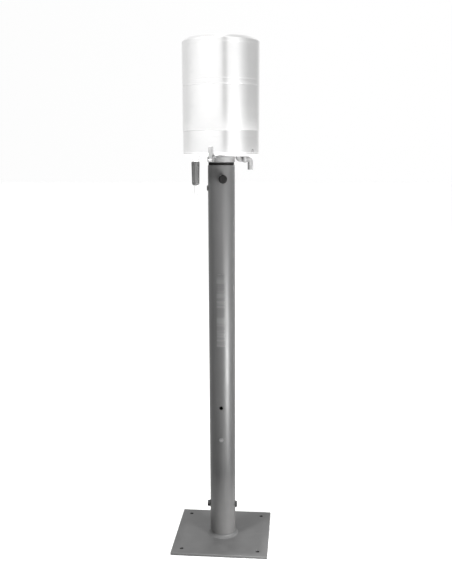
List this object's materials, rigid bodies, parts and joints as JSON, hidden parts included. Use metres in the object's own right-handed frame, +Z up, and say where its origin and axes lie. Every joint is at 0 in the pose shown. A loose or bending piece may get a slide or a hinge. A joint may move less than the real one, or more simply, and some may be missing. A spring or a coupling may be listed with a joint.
{
  "type": "manual rain gauge",
  "caption": "Post-mounted manual rain gauge: knife-edge funnel and removable reservoir in a round steel housing with drain cock, on a tube post and square base plate.",
  "frame": {"origin": "centre of the base plate's underside", "axes": "+Z up along the post, -Y the front with the clamp knob, -X the drain cock's side"},
  "size_m": [0.227, 0.227, 1.175],
  "materials": {
    "stainless": "fine brushed, bright",
    "post_paint": "semi-gloss grey paint",
    "plate_paint": "matt grey paint",
    "zinc": "dull zinc plate",
    "dark_steel": "blackened",
    "black_rubber": "matt",
    "grey_plastic": "satin moulded",
    "label_film": "satin film, blank"
  },
  "bodies": {
    "stand": {"base_plate": "plate_paint", "post_tube": "post_paint", "base_bolt": "dark_steel", "base_nut": "dark_steel", "base_washer_left": "zinc", "base_washer_right": "zinc", "post_hole_plug": "grey_plastic", "post_label": "label_film", "post_top_seal": "black_rubber", "side_set_screw": "post_paint", "clamp_boss": "post_paint"},
    "clamp_knob": {"clamp_knob": "dark_steel"},
    "head": {"head_spigot": "zinc", "head_base_pan": "stainless", "boss_screw_1": "dark_steel", "boss_screw_2": "dark_steel", "boss_screw_3": "dark_steel", "reservoir_pad_1": "black_rubber", "reservoir_pad_2": "black_rubber", "reservoir_pad_3": "black_rubber", "drain_cock_body": "stainless", "drain_lock_nut": "dark_steel", "drain_spout": "stainless", "overflow_pipe": "stainless", "overflow_saddle": "grey_plastic", "latch_bracket": "zinc", "latch_pin": "dark_steel"},
    "drain_sleeve": {"drain_sleeve": "grey_plastic"},
    "latch": {"latch_lever": "zinc"},
    "housing": {"housing_skirt": "stainless", "housing_barrel": "stainless", "skirt_rivet_1": "zinc", "skirt_rivet_2": "zinc", "latch_keeper": "zinc"},
    "collector": {"collector_shell": "stainless", "collector_rim": "stainless", "funnel_cone": "stainless", "funnel_stem": "stainless"},
    "strainer": {"strainer": "zinc"},
    "reservoir": {"reservoir_can": "stainless", "reservoir_lid": "stainless", "reservoir_outlet": "zinc", "reservoir_handle_1": "zinc", "reservoir_handle_2": "zinc"}
  },
  "joints": [
    {"name": "head_swivel", "type": "hinge", "parent": "stand", "child": "head", "pos_m": [0, 0, 0.9015], "axis": [0, 0, 1], "range_deg": [-180, 180]},
    {"name": "clamp_knob_turn", "type": "hinge", "parent": "stand", "child": "clamp_knob", "pos_m": [0.00596, -0.03378, 0.871], "axis": [0.1736, -0.9848, 0], "range_deg": [0, 360]},
    {"name": "drain_twist", "type": "hinge", "parent": "head", "child": "drain_sleeve", "pos_m": [-0.059, 0, 0.9], "axis": [0, 0, 1], "range_deg": [0, 90]},
    {"name": "latch_swing", "type": "hinge", "parent": "head", "child": "latch", "pos_m": [-0.01474, -0.08808, 0.913], "axis": [0.9863, -0.165, 0], "range_deg": [0, 100]},
    {"name": "housing_lift", "type": "slide", "parent": "head", "child": "housing", "axis": [0, 0, 1], "range_m": [0, 0.12]},
    {"name": "collector_lift", "type": "slide", "parent": "housing", "child": "collector", "axis": [0, 0, 1], "range_m": [0, 0.3]},
    {"name": "strainer_lift", "type": "slide", "parent": "collector", "child": "strainer", "axis": [0, 0, 1], "range_m": [0, 0.12]},
    {"name": "reservoir_lift", "type": "slide", "parent": "head", "child": "reservoir", "axis": [0, 0, 1], "range_m": [0, 0.18]}
  ],
  "couplings": [
    {"joint": "reservoir_lift", "follows": "collector_lift", "ratio": 0.6}
  ]
}
